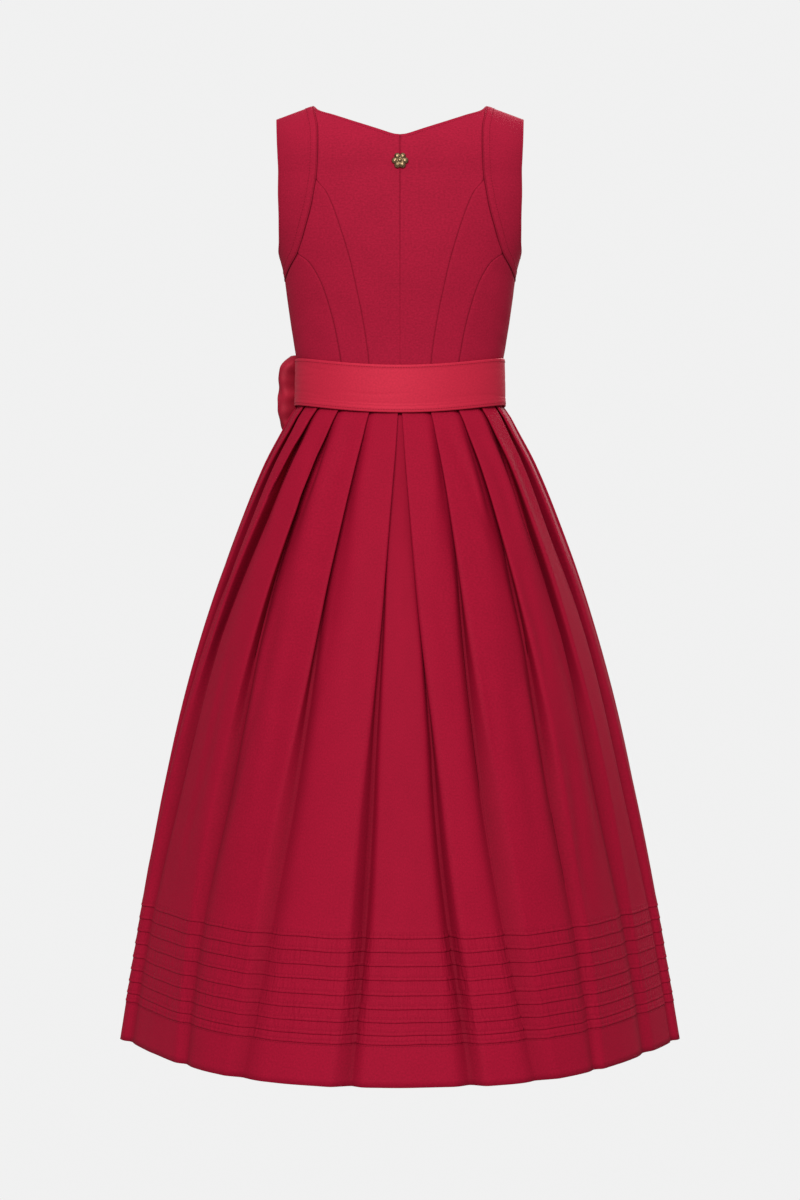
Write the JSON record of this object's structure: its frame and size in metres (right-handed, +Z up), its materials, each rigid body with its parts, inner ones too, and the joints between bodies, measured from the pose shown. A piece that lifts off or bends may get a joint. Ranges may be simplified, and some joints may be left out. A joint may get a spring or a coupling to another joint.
{
  "type": "dirndl dress with apron",
  "caption": "Sleeveless folk dress in its worn form: fitted bodice, long pleated skirt with tucks above the hem, apron, sash and bow.",
  "frame": {"origin": "between the tops of the two shoulders, where the wearer holds the dress up", "axes": "+Z up, -Y towards the dress's front, +X towards the wearer's left, where the bow is"},
  "size_m": [0.6996, 0.5655, 1.1641],
  "materials": {
    "bodice_cloth": "matt twill",
    "skirt_cloth": "matt plain weave",
    "sash_satin": "soft satin",
    "antique_brass": "aged"
  },
  "bodies": {
    "root": {"back_centre_left": "bodice_cloth", "back_centre_right": "bodice_cloth", "back_side_left": "bodice_cloth", "back_side_right": "bodice_cloth", "side_back_left": "bodice_cloth", "side_back_right": "bodice_cloth", "front_side_left": "bodice_cloth", "front_side_right": "bodice_cloth", "front_centre_left": "bodice_cloth", "front_centre_right": "bodice_cloth", "band_back_left": "bodice_cloth", "band_back_right": "bodice_cloth", "band_front_left": "bodice_cloth", "band_front_right": "bodice_cloth", "piping_left": "bodice_cloth", "piping_right": "bodice_cloth", "placket": "bodice_cloth", "skirt_back": "skirt_cloth", "skirt_left_front": "skirt_cloth", "skirt_right_front": "skirt_cloth", "sash": "sash_satin", "apron_waistband": "sash_satin", "apron": "sash_satin", "bow_knot": "sash_satin", "bow_loop_back": "sash_satin", "bow_loop_front": "sash_satin", "bow_tail_back": "sash_satin", "bow_tail_front": "sash_satin", "pin": "antique_brass", "button_1": "antique_brass", "button_2": "antique_brass", "button_3": "antique_brass", "button_4": "antique_brass", "button_5": "antique_brass", "button_6": "antique_brass"}
  },
  "joints": []
}
